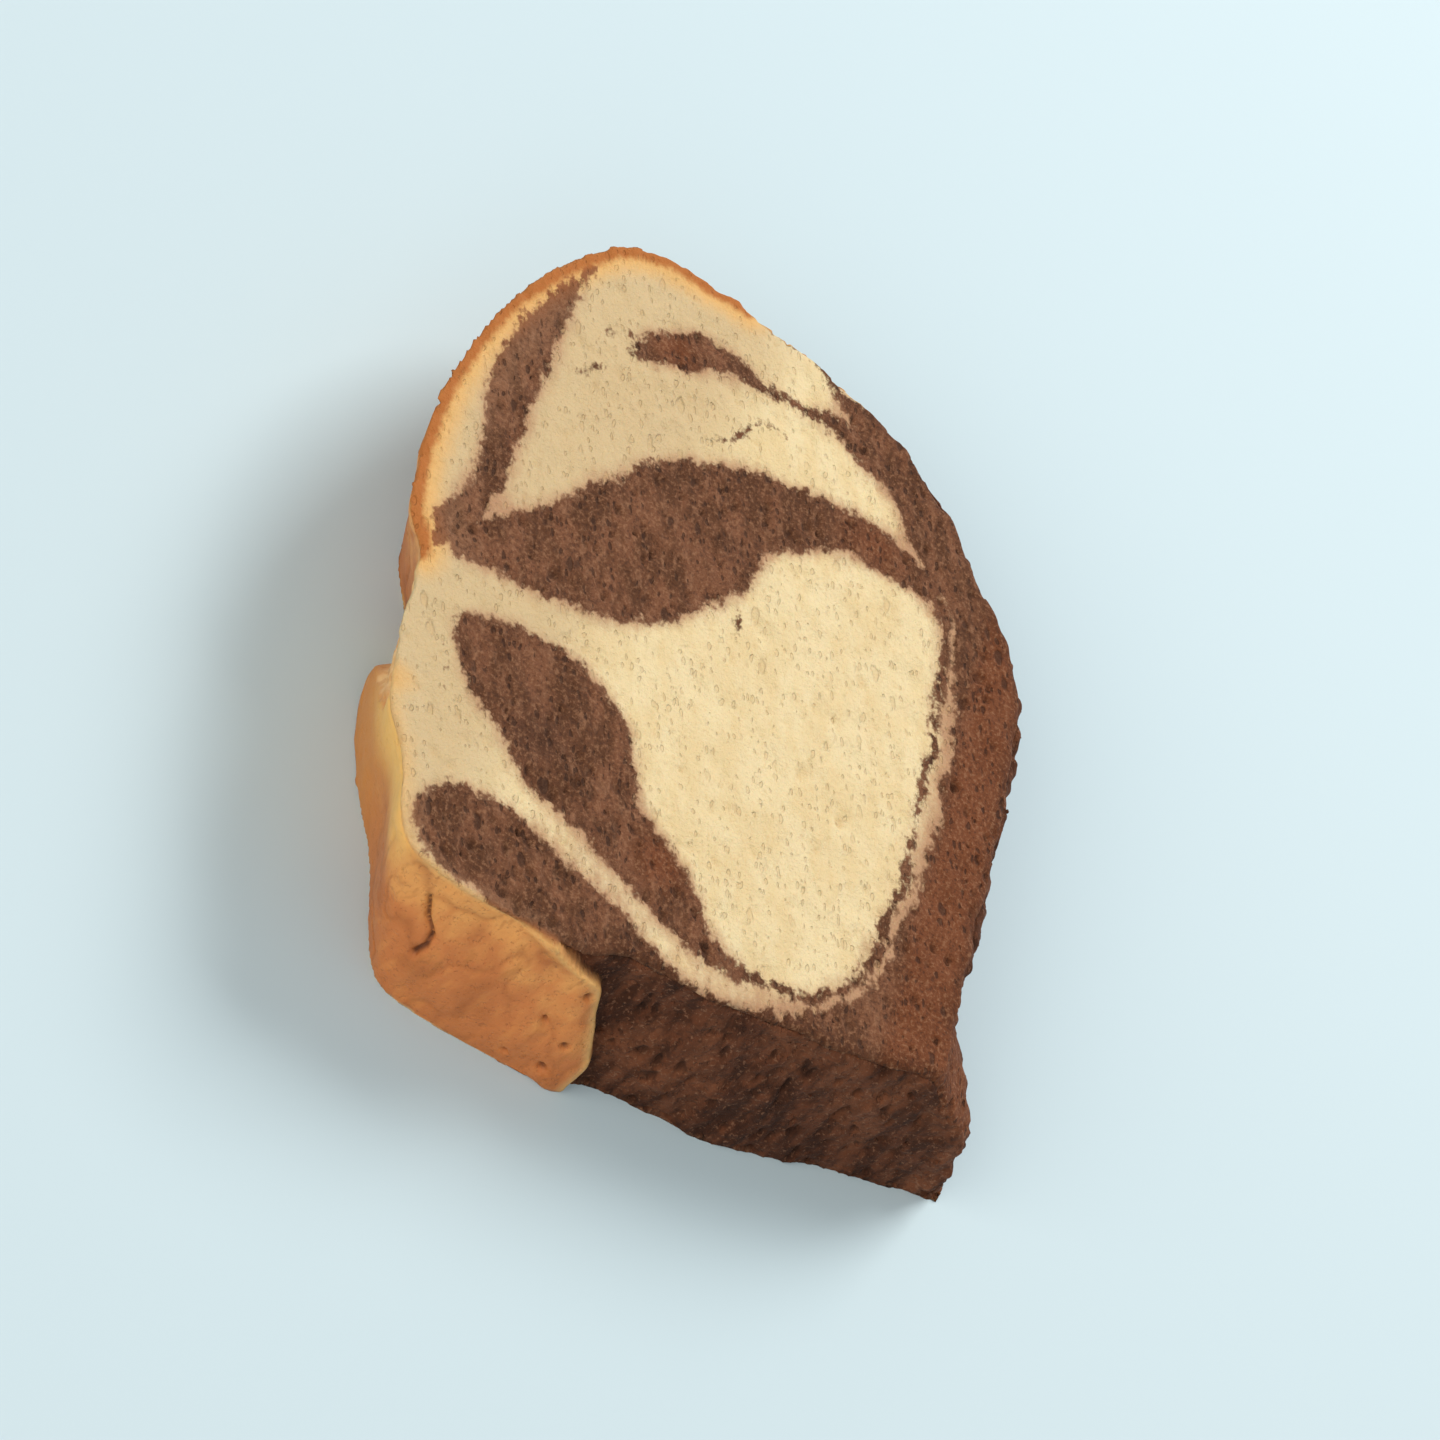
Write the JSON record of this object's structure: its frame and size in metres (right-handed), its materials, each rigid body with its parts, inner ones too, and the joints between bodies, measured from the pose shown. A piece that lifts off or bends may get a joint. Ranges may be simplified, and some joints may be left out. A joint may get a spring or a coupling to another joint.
{
  "type": "marble sponge cake slice",
  "caption": "Slice of vanilla and chocolate marble sponge loaf with a domed golden crust and an overhanging lip, lying on its cut face.",
  "frame": {"origin": "under the middle of the slice, on the surface it lies on", "axes": "+X across the slice, +Y from the loaf's flat base to its domed crust, +Z out of the cut face that shows"},
  "size_m": [0.0804, 0.0798, 0.0173],
  "materials": {
    "sponge": "matt open crumb, vanilla and cocoa marbled, with a golden baked crust"
  },
  "bodies": {
    "root": {"sponge_slice": "sponge"}
  },
  "joints": []
}
